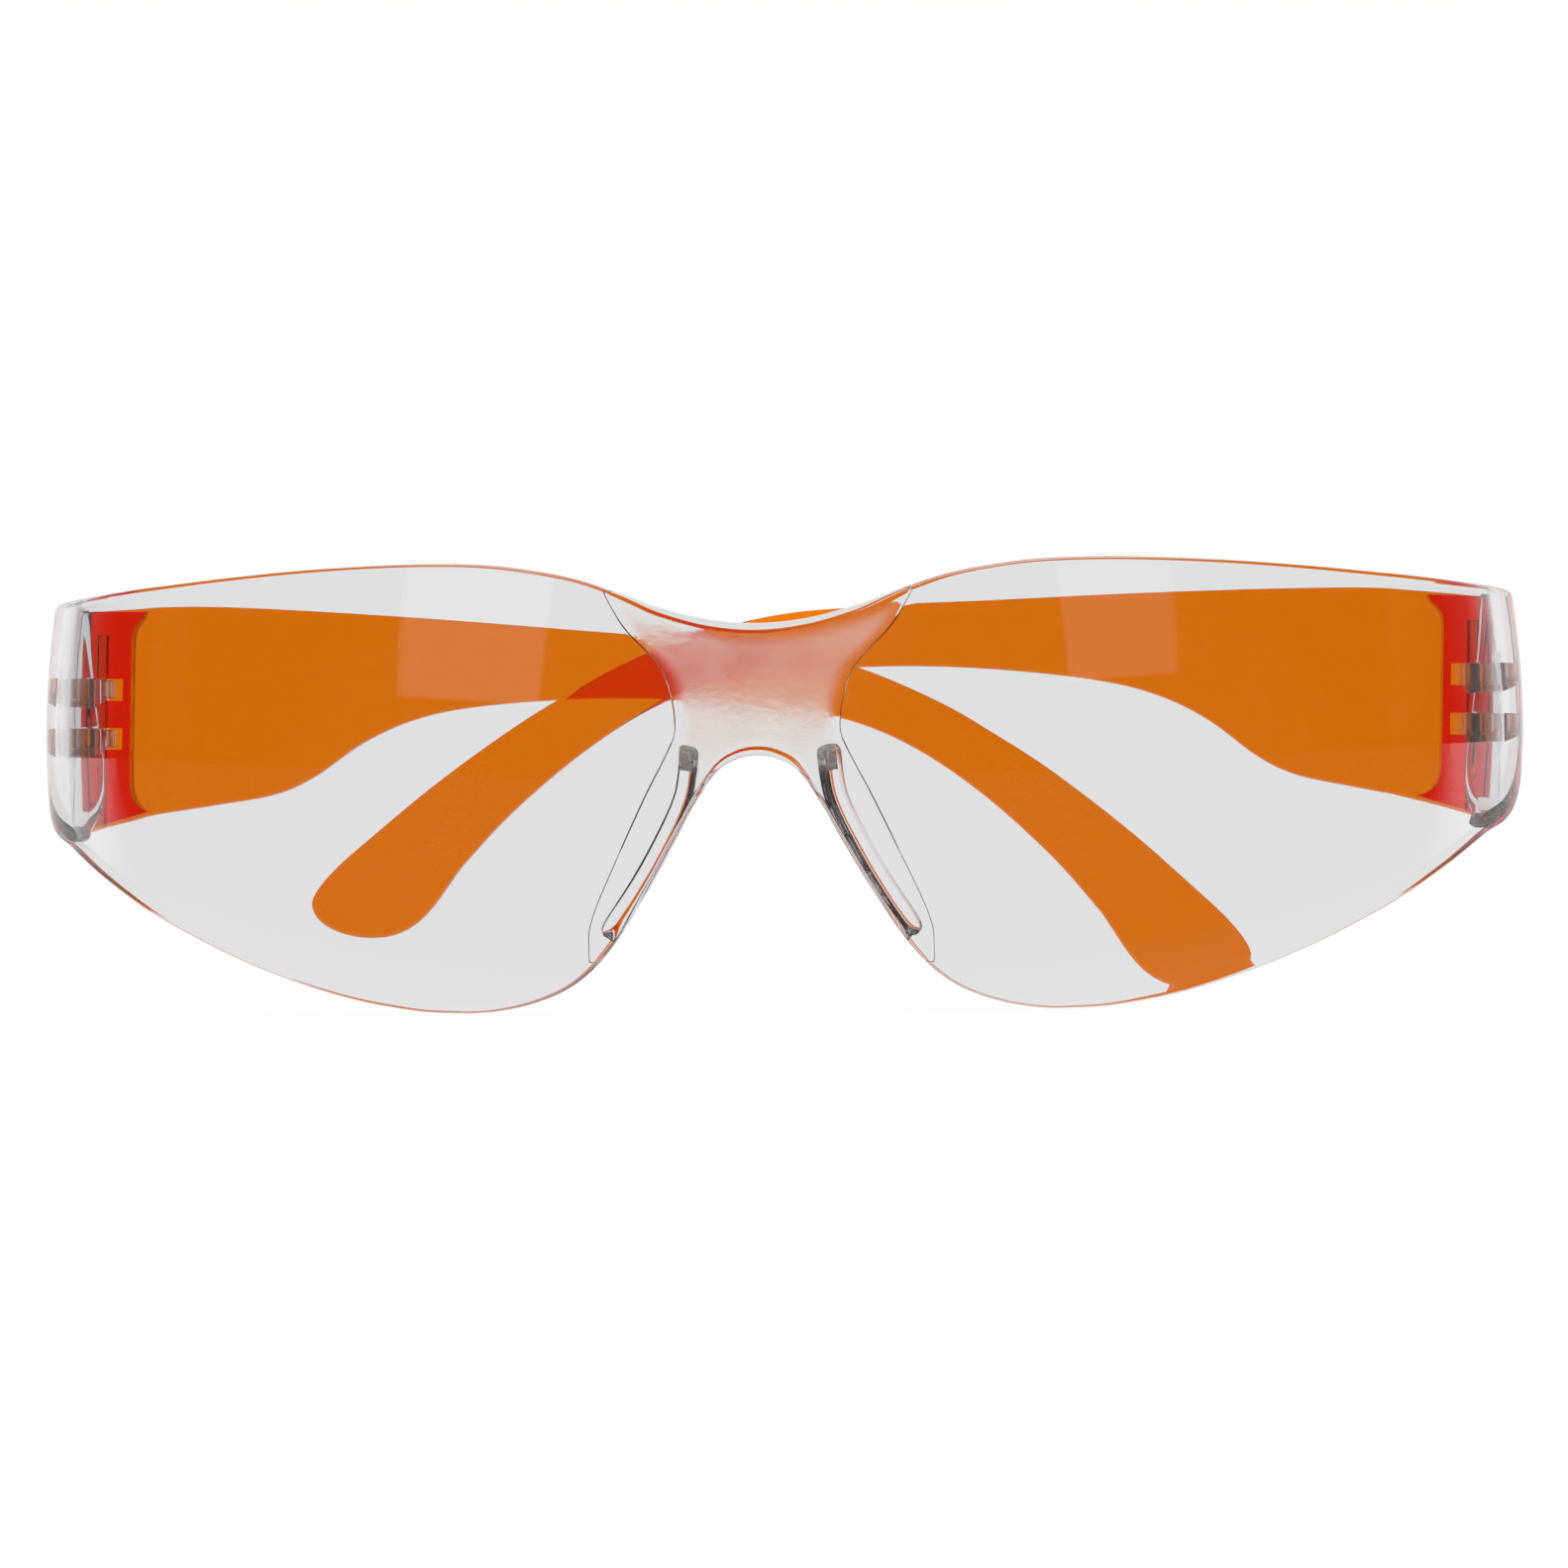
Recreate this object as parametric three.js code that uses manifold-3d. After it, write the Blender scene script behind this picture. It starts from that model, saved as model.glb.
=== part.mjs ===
// Wrap-around safety glasses: a one-piece clear lens with its nose bridge, two transparent
// orange temples folded behind it, and a clear pin in each hinge.
// Millimetres. +X across the face, +Y towards the wearer's head, +Z up.
import * as THREE from "three";
import { mergeVertices } from "three/addons/utils/BufferGeometryUtils.js";
import Module from "manifold-3d";

const wasm = await Module();
wasm.setup();

// ---- Driving dimensions ----------------------------------------------------------------

// The lens seen from above: a shallow front arc, a tight corner arc, and a straight side wall.
const FRONT_RADIUS = 120;
const FRONT_ARC = 66; // arc length from the middle to where the corner arc starts
const CORNER_RADIUS = 24.8;
const SIDE_ANGLE = THREE.MathUtils.degToRad(85); // heading of the side wall, 5 degrees of draft
const LENS_REACH = 91; // arc length from the middle to the rear edge
const WALL = 2.2;
const BRIDGE_EXTRA = 0.2; // the bridge is a little thicker than the lens
const BRIDGE_HALF = 9;
const BARREL_RADIUS = 90; // how the lens curves from top to bottom
const BARREL_FRONT = 22; // height where it bulges most, in the middle and at the rear edge
const BARREL_REAR = 27;

// Hinges. A pin stands in each; both lean the same way by the play of the folded temples.
const HINGE_X = 69.75;
const HINGE_Y = 41.2;
const HINGE_Z = 29.3;
const HINGE_LEAN = THREE.MathUtils.degToRad(1.5);
const FOLD_OFFSET = THREE.MathUtils.degToRad(1.15); // lets the folded temples pass each other
const PIN_RADIUS = 0.6;
const PIN_LOW = -10.8; // the pin's ends, from the hinge height
const PIN_HIGH = 8.5;
const PIN_PLAY = 0.1;

// Lugs: two clear bars on each side wall that the pin passes through.
const LUG_HEIGHTS = [-1.85, 3.1]; // middles, from the hinge height
const LUG_RADIUS = 1.4;
const LUG_FRONT_Y = 30.6;
const LUG_ROOT_Y = 37.8; // where it leaves the side wall
const LUG_FRONT_TALL = 3.0;
const LUG_DROOP = 0.5; // how much lower its front end's middle is
const LUG_REAR_TALL = 1.8;
const SLOT_TALL = 2.2;
const SLOT_REACH = 2.4; // from the pin to the slot's far end

// The inward lip at the rear edge of each side wall, which the open temple butts against.
const LIP_THICK = 1.6;
const LIP_INSET = 0.4; // from the wall's rear edge to the lip's rear face
const LIP_ENDS = 0.8; // how far it stands in from the wall at its ends and in the middle
const LIP_MIDDLE = 3.6;

// Temples.
const PLATE = 2.2;
const PLATE_OUTER = 4.55; // from the pin to the outer face
const PLATE_INNER = PLATE_OUTER - PLATE;
const BLOCK_INNER = -1.5; // the thick hinge block's inner face
const BLOCK_END = -2.25;
const BLOCK_REACH = 3.2;
const BLOCK_FLARE = 1.6;

// Nose flanges: a fin on each side of the nose arch, reaching back to the wearer's nose.
const FIN_THICK = 1.9;
const FIN_DEPTH = 8.5;
const FIN_FLARE = 0.8;
const FIN_INSET = 0.12; // from the lens's edge to the fin's own side

const FIN_TIP = 3.5; // how far the fin's lower end still reaches

// The side of a nose flange nearest the nose: arc length from the middle, and height.
const FIN_LINE = [[5.6, 25.8], [5.9, 23.2], [6.5, 20.4], [8.1, 17.0], [11, 12.0], [14.6, 6.8]];

// Heights of the lens's edges against arc length from the middle.
const TOP_EDGE = [
  [0, 37.85], [5, 38.3], [10, 39.55], [14, 41.0], [18, 42.3], [22, 43.15], [28, 43.9],
  [36, 44.1], [46, 43.8], [56, 43.15], [66, 42.3], [76, 41.5], [86, 40.95], [91, 40.8],
];
const BOTTOM_EDGE = [
  [0, 24.95], [2, 24.6], [4, 23.4], [6, 20.6], [8, 17.0], [11, 12.0], [14, 7.6], [17, 4.3],
  [20, 2.25], [24, 0.8], [28, 0.1], [31, 0], [36, 0.25], [44, 1.65], [54, 4.75], [64, 9.1],
  [72, 13.3], [78.5, 16.5], [83, 17.7], [86, 19.1], [88.6, 21.4], [90.3, 24.4], [91, 28.2],
];

// ---- Solids ----------------------------------------------------------------------------

function toSolid(geometry) {
  const bare = geometry.clone();
  bare.deleteAttribute("normal");
  bare.deleteAttribute("uv");
  const merged = mergeVertices(bare, 1e-4);
  return new wasm.Manifold(
    new wasm.Mesh({
      numProp: 3,
      vertProperties: merged.attributes.position.array,
      triVerts: new Uint32Array(merged.index.array),
    }),
  );
}

function toGeometry(solid) {
  const mesh = solid.simplify(0.01).getMesh();
  const geometry = new THREE.BufferGeometry();
  geometry.setAttribute("position", new THREE.BufferAttribute(mesh.vertProperties, 3));
  geometry.setIndex(new THREE.BufferAttribute(mesh.triVerts, 1));
  geometry.computeVertexNormals();
  return geometry;
}

// A closed slab between two sheets, each given as a function of its column and row.
function slab(columns, rows, front, back) {
  const positions = [];
  const index = [];
  const at = (sheet, i, j) => (sheet * columns + i) * rows + j;
  for (const sheet of [front, back]) {
    for (let i = 0; i < columns; i++) {
      for (let j = 0; j < rows; j++) positions.push(...sheet(i, j));
    }
  }
  const quad = (a, b, c, d) => index.push(a, b, c, a, c, d);
  for (let i = 0; i + 1 < columns; i++) {
    for (let j = 0; j + 1 < rows; j++) {
      quad(at(0, i, j), at(0, i + 1, j), at(0, i + 1, j + 1), at(0, i, j + 1));
      quad(at(1, i, j), at(1, i, j + 1), at(1, i + 1, j + 1), at(1, i + 1, j));
    }
    const top = rows - 1;
    quad(at(0, i, 0), at(1, i, 0), at(1, i + 1, 0), at(0, i + 1, 0));
    quad(at(0, i, top), at(0, i + 1, top), at(1, i + 1, top), at(1, i, top));
  }
  for (let j = 0; j + 1 < rows; j++) {
    const last = columns - 1;
    quad(at(0, 0, j), at(0, 0, j + 1), at(1, 0, j + 1), at(1, 0, j));
    quad(at(0, last, j), at(1, last, j), at(1, last, j + 1), at(0, last, j + 1));
  }
  const geometry = new THREE.BufferGeometry();
  geometry.setAttribute("position", new THREE.Float32BufferAttribute(positions, 3));
  geometry.setIndex(index);
  return toSolid(geometry);
}

// An outline in two axes, extruded between two values of the third.
function extrude(shape, low, high, axes, curveSegments = 3) {
  const geometry = new THREE.ExtrudeGeometry(shape, {
    depth: high - low,
    bevelEnabled: false,
    curveSegments,
  });
  geometry.translate(0, 0, low);
  geometry.applyMatrix4(axes);
  return toSolid(geometry);
}

// Maps an outline's (x, y, depth) onto (X, Z, Y) or leaves it lying flat on (X, Y, Z).
const STANDING = new THREE.Matrix4().makeRotationX(Math.PI / 2);
const LYING = new THREE.Matrix4();

// STANDING turns the depth towards -Y, so its range is given reversed.
function extrudeAlongY(shape, lowY, highY, curveSegments) {
  return extrude(shape, -highY, -lowY, STANDING, curveSegments);
}

function mirrored(solid) {
  const flip = solid.mirror([1, 0, 0]);
  return flip;
}

function union(solids) {
  return solids.reduce((sum, next) => sum.add(next));
}

// ---- The lens's surface ------------------------------------------------------------------

// A smooth curve through edge points, as height against arc length from the middle.
function heightCurve(points) {
  const heights = points.map(([, z]) => z);
  const reaches = points.map(([s]) => s);
  const slopes = heights.map((z, i) => {
    if (i === 0) return 0;
    if (i === heights.length - 1) return (z - heights[i - 1]) / (reaches[i] - reaches[i - 1]);
    return (heights[i + 1] - heights[i - 1]) / (reaches[i + 1] - reaches[i - 1]);
  });
  return (s) => {
    const reach = Math.min(Math.abs(s), reaches.at(-1));
    let i = 0;
    while (i < reaches.length - 2 && reach > reaches[i + 1]) i++;
    const span = reaches[i + 1] - reaches[i];
    const t = (reach - reaches[i]) / span;
    const [a, b] = [heights[i], heights[i + 1]];
    const [p, q] = [slopes[i] * span, slopes[i + 1] * span];
    return a + t * (p + t * (3 * (b - a) - 2 * p - q + t * (2 * (a - b) + p + q)));
  };
}

const topEdge = heightCurve(TOP_EDGE);
const bottomEdge = heightCurve(BOTTOM_EDGE);

// The outer wrap curve from above: where it is and which way it heads at arc length s.
function wrap(s) {
  const reach = Math.abs(s);
  const cornerStart = FRONT_ARC / FRONT_RADIUS;
  const cornerArc = CORNER_RADIUS * (SIDE_ANGLE - cornerStart);
  const heading =
    reach < FRONT_ARC
      ? reach / FRONT_RADIUS
      : Math.min(SIDE_ANGLE, cornerStart + (reach - FRONT_ARC) / CORNER_RADIUS);
  const frontHeading = Math.min(heading, cornerStart);
  let x = FRONT_RADIUS * Math.sin(frontHeading);
  let y = FRONT_RADIUS * (1 - Math.cos(frontHeading));
  x += CORNER_RADIUS * (Math.sin(heading) - Math.sin(frontHeading));
  y += CORNER_RADIUS * (Math.cos(frontHeading) - Math.cos(heading));
  const straight = Math.max(0, reach - FRONT_ARC - cornerArc);
  x += straight * Math.cos(SIDE_ANGLE);
  y += straight * Math.sin(SIDE_ANGLE);
  return { side: Math.sign(s), x, y, heading };
}

// A point a given depth inside the lens's outer surface.
function lensPoint(s, z, depth) {
  const { side, x, y, heading } = wrap(s);
  const bulge = THREE.MathUtils.lerp(BARREL_FRONT, BARREL_REAR, Math.abs(s) / LENS_REACH);
  const inward = depth + (z - bulge) ** 2 / (2 * BARREL_RADIUS);
  return [side * (x - inward * Math.sin(heading)), y + inward * Math.cos(heading), z];
}

function wallAt(s) {
  const fade = Math.max(0, 1 - (s / BRIDGE_HALF) ** 2);
  return WALL + BRIDGE_EXTRA * fade;
}

// ---- The lens ------------------------------------------------------------------------------

function lensShell() {
  const half = [];
  for (let s = 0; s < 22; s += 1) half.push(s);
  for (let s = 22; s < LENS_REACH; s += 3) half.push(s);
  half.push(LENS_REACH);
  const reaches = [...half.slice(1).reverse().map((s) => -s), ...half];
  const rows = 8;
  const sheet = (depthAt) => (i, j) => {
    const s = reaches[i];
    const z = THREE.MathUtils.lerp(bottomEdge(s), topEdge(s), j / (rows - 1));
    return lensPoint(s, z, depthAt(s));
  };
  return slab(reaches.length, rows, sheet(() => 0), sheet(wallAt));
}

// A fin that stands behind the lens along part of its edge, on the +X side. path is in arc
// length and height, with the lens on its left as it runs; reach(t) is how far the fin goes
// behind the outer surface, and flare how far its rear edge spreads away from the lens's edge.
function fin(path, reach, inset, thick, flare) {
  const columns = 17;
  const rows = 5;
  const rail = (near) => (i, j) => {
    const t = i / (columns - 1);
    const back = j / (rows - 1);
    const edge = path.getPoint(t);
    const along = path.getTangent(t);
    const aside = near + flare * back * back;
    const depth = THREE.MathUtils.lerp(0.4 * WALL, reach(t), back);
    return lensPoint(edge.x - along.y * aside, edge.y + along.x * aside, depth);
  };
  return slab(columns, rows, rail(inset + thick), rail(inset));
}

function edgePath(points) {
  return new THREE.SplineCurve(points.map(([s, z]) => new THREE.Vector2(s, z)));
}

// One nose flange: it stands beside the nose arch and runs out towards its lower end.
function noseFin() {
  const reach = (t) => {
    const fade = Math.sqrt(THREE.MathUtils.smoothstep(1 - t, 0, 0.45));
    return THREE.MathUtils.lerp(FIN_TIP, FIN_DEPTH, fade);
  };
  return fin(edgePath(FIN_LINE), reach, FIN_INSET, FIN_THICK, FIN_FLARE);
}

// The inward lip along the rear edge of one side wall, deepest beside the lugs.
function rearLip() {
  const path = edgePath(BOTTOM_EDGE.slice(17).concat([[LENS_REACH, 34.5], [LENS_REACH, 40.5]]));
  const reach = (t) => WALL + LIP_ENDS + (LIP_MIDDLE - LIP_ENDS) * Math.sin(Math.PI * t);
  return fin(path, reach, LIP_INSET, LIP_THICK, 0);
}

// One hinge lug, on the +X side: a bar along the wall that ends round the pin. It is tallest at
// its front end and has its least height where it leaves the wall.
function lug(height) {
  const rootX = 72.6;
  const shape = new THREE.Shape();
  shape.moveTo(rootX, LUG_FRONT_Y + 1.6);
  shape.lineTo(HINGE_X - LUG_RADIUS, LUG_FRONT_Y);
  shape.lineTo(HINGE_X - LUG_RADIUS, LUG_ROOT_Y);
  shape.lineTo(HINGE_X - LUG_RADIUS, HINGE_Y);
  shape.absarc(HINGE_X, HINGE_Y, LUG_RADIUS, Math.PI, 0, true);
  shape.lineTo(HINGE_X + LUG_RADIUS, LUG_ROOT_Y + 0.6);
  shape.lineTo(rootX, LUG_ROOT_Y);
  shape.closePath();
  const geometry = new THREE.ExtrudeGeometry(shape, {
    depth: 1,
    bevelEnabled: false,
    curveSegments: 8,
  });
  const places = geometry.attributes.position;
  for (let i = 0; i < places.count; i++) {
    const t = (places.getY(i) - LUG_FRONT_Y) / (LUG_ROOT_Y - LUG_FRONT_Y);
    const back = Math.min(1, t);
    const tall = THREE.MathUtils.lerp(LUG_FRONT_TALL, LUG_REAR_TALL, back);
    const middle = HINGE_Z + height - LUG_DROOP * (1 - back);
    places.setZ(i, middle + (places.getZ(i) - 0.5) * tall);
  }
  return toSolid(geometry);
}

// The pose of everything that belongs to one hinge: local x runs along the folded temple,
// y towards the back and z up the pin. side is -1 on the wearer's right, +1 on the left.
function hingeMatrix(side) {
  return new THREE.Matrix4()
    .makeTranslation(side * HINGE_X, HINGE_Y, HINGE_Z)
    .multiply(new THREE.Matrix4().makeRotationY(HINGE_LEAN))
    .multiply(new THREE.Matrix4().makeRotationZ(FOLD_OFFSET))
    .multiply(new THREE.Matrix4().makeScale(-side, 1, 1));
}

function uprightCylinder(radius, low, high) {
  return new THREE.CylinderGeometry(radius, radius, high - low, 20)
    .rotateX(Math.PI / 2)
    .translate(0, 0, (low + high) / 2);
}

function pinHole(side) {
  const cutter = uprightCylinder(PIN_RADIUS + PIN_PLAY, -8, 8);
  cutter.applyMatrix4(
    new THREE.Matrix4()
      .makeTranslation(side * HINGE_X, HINGE_Y, HINGE_Z)
      .multiply(new THREE.Matrix4().makeRotationY(HINGE_LEAN)),
  );
  return toSolid(cutter);
}

function lensSolid() {
  const side = union([noseFin(), rearLip(), ...LUG_HEIGHTS.map(lug)]);
  return union([lensShell(), side, mirrored(side)])
    .subtract(pinHole(-1))
    .subtract(pinHole(1));
}

// ---- A temple, in its hinge's own frame --------------------------------------------------

// The side view: a deep hinge end, a narrow arm and a hook that drops behind the ear.
function templeOutline() {
  const shape = new THREE.Shape();
  const point = (x, y) => new THREE.Vector2(x, y);
  shape.moveTo(BLOCK_END, -11.5);
  shape.splineThru([
    point(5, -9.65), point(12, -8.4), point(18, -7.25), point(22, -5.45), point(27, -1.9),
    point(32, 0.45), point(38, 1.85), point(48, 2.8), point(58, 3.0), point(68, 2.4),
    point(76, 1.2), point(83, -1.6), point(90, -6.2), point(97, -12.3), point(102, -17.8),
  ]);
  shape.bezierCurveTo(104.5, -21.2, 106, -25.1, 111, -25.1);
  shape.bezierCurveTo(114, -25.1, 117.2, -23.8, 117.1, -21.6);
  shape.bezierCurveTo(116.9, -20.2, 114.5, -17.8, 112.5, -16.1);
  shape.splineThru([
    point(105, -9.7), point(97, -3.75), point(91, 0), point(85, 3.3), point(77, 6.5),
    point(69, 8.4), point(60, 9.15), point(50, 9.7), point(36, 10.6), point(22, 11.3), point(11, 11.6),
    point(3, 11.3), point(BLOCK_END, 11.0),
  ]);
  shape.closePath();
  return shape;
}

// The thick hinge block from the side: its inner boundary flares at the top and bottom.
function blockOutline() {
  const shape = new THREE.Shape();
  const flare = BLOCK_REACH + BLOCK_FLARE;
  shape.moveTo(BLOCK_END, -14);
  shape.lineTo(flare + 1, -14);
  shape.lineTo(flare, -10);
  shape.quadraticCurveTo(BLOCK_REACH, -8.6, BLOCK_REACH, -6);
  shape.lineTo(BLOCK_REACH, 8);
  shape.quadraticCurveTo(BLOCK_REACH, 10, flare, 11);
  shape.lineTo(flare + 1, 14);
  shape.lineTo(BLOCK_END, 14);
  shape.closePath();
  return shape;
}

// The hinge block from above: rounded round the pin so that it clears the lip as it turns.
function blockPlan() {
  const shape = new THREE.Shape();
  shape.moveTo(BLOCK_END, PLATE_OUTER);
  shape.lineTo(BLOCK_END, 0);
  shape.quadraticCurveTo(BLOCK_END, BLOCK_INNER, -1, BLOCK_INNER);
  shape.lineTo(BLOCK_REACH + BLOCK_FLARE + 2, BLOCK_INNER);
  shape.lineTo(BLOCK_REACH + BLOCK_FLARE + 2, PLATE_OUTER);
  shape.closePath();
  return shape;
}

function slotCutter(height) {
  const size = 6 + SLOT_REACH;
  const box = new THREE.BoxGeometry(size, 6 + PLATE_INNER, SLOT_TALL);
  box.translate(SLOT_REACH - size / 2, PLATE_INNER - (6 + PLATE_INNER) / 2, height);
  return toSolid(box);
}

function templeSolid() {
  const outline = extrudeAlongY(templeOutline(), BLOCK_INNER - 1, PLATE_OUTER, 4);
  const plate = outline.subtract(
    toSolid(new THREE.BoxGeometry(300, 20, 80).translate(0, PLATE_INNER - 10, 0)),
  );
  const block = extrudeAlongY(blockOutline(), BLOCK_INNER, PLATE_OUTER, 4)
    .intersect(extrude(blockPlan(), -20, 20, LYING, 4))
    .intersect(outline);
  const hole = toSolid(uprightCylinder(PIN_RADIUS + PIN_PLAY, -20, PIN_HIGH + PIN_PLAY));
  return union([plate, block])
    .subtract(union(LUG_HEIGHTS.map(slotCutter)))
    .subtract(hole);
}

// ---- The assembly --------------------------------------------------------------------------

const clear = new THREE.MeshStandardMaterial({
  color: 0xe8eaec,
  roughness: 0.08,
  metalness: 0,
  transparent: true,
  opacity: 0.3,
});
const orange = new THREE.MeshStandardMaterial({
  color: 0xe07800,
  roughness: 0.25,
  metalness: 0,
  transparent: true,
  opacity: 0.75,
});

function named(name, geometry, material) {
  const mesh = new THREE.Mesh(geometry, material);
  mesh.name = name;
  return mesh;
}

const glasses = new THREE.Group();
glasses.add(named("lens", toGeometry(lensSolid()), clear));

const temple = toGeometry(templeSolid());
const pin = toGeometry(toSolid(uprightCylinder(PIN_RADIUS, PIN_LOW, PIN_HIGH)));
for (const [word, side] of [["left", -1], ["right", 1]]) {
  const hinge = new THREE.Group();
  hingeMatrix(side).decompose(hinge.position, hinge.quaternion, hinge.scale);
  hinge.add(named(`temple_${word}`, temple, orange.clone()));
  hinge.add(named(`hinge_pin_${word}`, pin, clear.clone()));
  glasses.add(hinge);
}

// The origin is at the middle of the footprint, on the surface the glasses stand on.
const middle = new THREE.Box3().setFromObject(glasses, true).getCenter(new THREE.Vector3());
const object = new THREE.Group();
glasses.position.set(-middle.x, -middle.y, 0);
object.add(glasses);

export default object;
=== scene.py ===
"""Looks for the wrap-around safety glasses, in Blender 4.5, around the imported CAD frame.

The clear lens, the two orange temples and the two hinge pins are rebuilt here with rounded
rims, smooth surfaces and procedural materials, in the same place and size as the CAD solids.
Sizes are in millimetres until mesh_object() turns them into metres.
"""

import math

import bmesh
import bpy
from mathutils import Matrix, Vector


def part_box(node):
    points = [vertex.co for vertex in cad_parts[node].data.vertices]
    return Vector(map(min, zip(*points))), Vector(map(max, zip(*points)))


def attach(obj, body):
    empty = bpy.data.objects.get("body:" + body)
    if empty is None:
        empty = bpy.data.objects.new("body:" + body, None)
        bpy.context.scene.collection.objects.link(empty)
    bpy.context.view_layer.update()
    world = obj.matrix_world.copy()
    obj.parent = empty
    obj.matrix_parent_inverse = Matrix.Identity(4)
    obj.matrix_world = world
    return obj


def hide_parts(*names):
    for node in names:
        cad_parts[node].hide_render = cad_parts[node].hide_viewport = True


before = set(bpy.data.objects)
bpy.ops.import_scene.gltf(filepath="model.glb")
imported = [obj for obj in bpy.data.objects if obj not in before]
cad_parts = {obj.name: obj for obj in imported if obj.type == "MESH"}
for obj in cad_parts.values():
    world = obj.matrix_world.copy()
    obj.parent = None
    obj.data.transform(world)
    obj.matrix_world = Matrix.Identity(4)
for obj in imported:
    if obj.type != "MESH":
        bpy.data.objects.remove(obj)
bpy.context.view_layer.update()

MM = 0.001
MICROMETRE = 0.000001

# ---- Driving dimensions, the same as the CAD model's ---------------------------------

# The lens seen from above: a shallow front arc, a tight corner arc, a straight side wall.
FRONT_RADIUS = 120
FRONT_ARC = 66
CORNER_RADIUS = 24.8
SIDE_ANGLE = math.radians(85)
LENS_REACH = 91
WALL = 2.2
BRIDGE_EXTRA = 0.2
BARREL_RADIUS = 90
BARREL_FRONT = 22
BARREL_REAR = 27

HINGE_LEAN = math.radians(1.5)
FOLD_OFFSET = math.radians(1.15)
HINGE_X = 69.75
HINGE_Y = 41.2
HINGE_Z = 29.3
PIN_RADIUS = 0.6
PIN_LOW = -10.8
PIN_HIGH = 8.5
PIN_PLAY = 0.1

LUG_HEIGHTS = (-1.85, 3.1)
LUG_RADIUS = 1.4
LUG_FRONT_Y = 30.6
LUG_ROOT_Y = 37.8
LUG_ROOT_X = 72.6
LUG_FRONT_TALL = 3.0
LUG_DROOP = 0.5
LUG_REAR_TALL = 1.8
SLOT_TALL = 2.2
SLOT_REACH = 2.4

PLATE = 2.2
PLATE_OUTER = 4.55
PLATE_INNER = PLATE_OUTER - PLATE
BLOCK_INNER = -1.5
BLOCK_END = -2.25
BLOCK_LOW = -11.3
BLOCK_HIGH = 11.0
BLOCK_REACH = 3.2
BLOCK_FLARE = 1.6
BLOCK_SUNK = 0.5  # how far its outer face lies inside the plate's

FIN_THICK = 1.9
FIN_DEPTH = 8.5
FIN_FLARE = 0.8
FIN_TIP = 3.5
FIN_SHALLOW = 0.45  # share of a nose flange over which it deepens from its lower tip
FIN_INSET = 0.12
LIP_THICK = 1.6
LIP_INSET = 0.4
LIP_ENDS = 0.8
LIP_MIDDLE = 3.6

# The lens's edges: arc length from the middle, and height.
TOP_EDGE = (
    (0, 37.85), (5, 38.3), (10, 39.55), (14, 41.0), (18, 42.3), (22, 43.15), (28, 43.9),
    (36, 44.1), (46, 43.8), (56, 43.15), (66, 42.3), (76, 41.5), (86, 40.95), (91, 40.8),
)
BOTTOM_EDGE = (
    (0, 24.95), (2, 24.6), (4, 23.4), (6, 20.6), (8, 17.0), (11, 12.0), (14, 7.6), (17, 4.3),
    (20, 2.25), (24, 0.8), (28, 0.1), (31, 0), (36, 0.25), (44, 1.65), (54, 4.75), (64, 9.1),
    (72, 13.3), (78.5, 16.5), (83, 17.7), (86, 19.1), (88.6, 21.4), (90.3, 24.4), (91, 28.2),
)

# ---- Details that only the visual model has ---------------------------------------------

RIM_ROUND = 0.4  # rounding of the lens's edges, and of the thicker bridge's
BRIDGE_ROUND = 0.9
LUG_ROUND = 0.12
PIN_ROUND = 0.3
TEMPLE_ROUND = 0.35
BLOCK_ROUND = 0.1
SLOT_ROUND = 0.1
SHARP_ANGLE = math.radians(32)
STEP_WIDTH = 0.12  # how wide the step from lens to bridge is
STEP_ZONE = 22.1  # arc length up to which the lens's cross-sections follow the step
FIN_ROOT = 0.4 * WALL  # how deep inside the lens a fin starts
FIN_CORNER = 0.2  # share of a nose flange over which its upper rear corner is rounded off

# Where the lens steps up to the bridge: height, and arc length from the middle.
STEP_LINE = (
    (0, 17.6), (5.6, 17.4), (8.7, 17.1), (14.8, 14.3), (20.9, 11.3), (26.5, 8.4), (28.5, 8.2),
    (30.9, 8.6), (33.3, 9.5), (35.0, 11.0), (37.4, 13.4), (40.8, 15.6), (44.2, 18),
)

# The side of a nose flange nearest the nose, from top to bottom: arc length and height.
FIN_LINE = ((5.6, 25.8), (5.9, 23.2), (6.5, 20.4), (8.1, 17.0), (11, 12.0), (14.6, 6.8))

PLASTIC_IOR = 1.56
CLEAR_TINT = (0.8, 0.8, 0.81, 1)
# The frosted colour's warmth is painted light: it stands in for orange light from the temples
# scattered in the frost.
FROST_PAINTED_ORANGE_LIGHT = (0.87, 0.81, 0.75, 1)
PIN_TINT = (0.9, 0.905, 0.91, 1)
ORANGE_PASSED = (0.993, 0.745, 0.0, 1)
ORANGE_DENSITY = 2700
LUG_FROST = 0.45  # the lugs are a little matt, the bridge fully so

# The studio: how bright it is seen directly, and mirrored at shares of the way to the back.
WORLD_LIGHT = 1.02
WORLD_MIRRORED = ((0.0, 0.01), (0.5, 0.02), (0.7, 0.15), (0.88, 1.0))
FLOOR_LIGHT = 0.92
FLOOR_FRONT = 0.03

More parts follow.
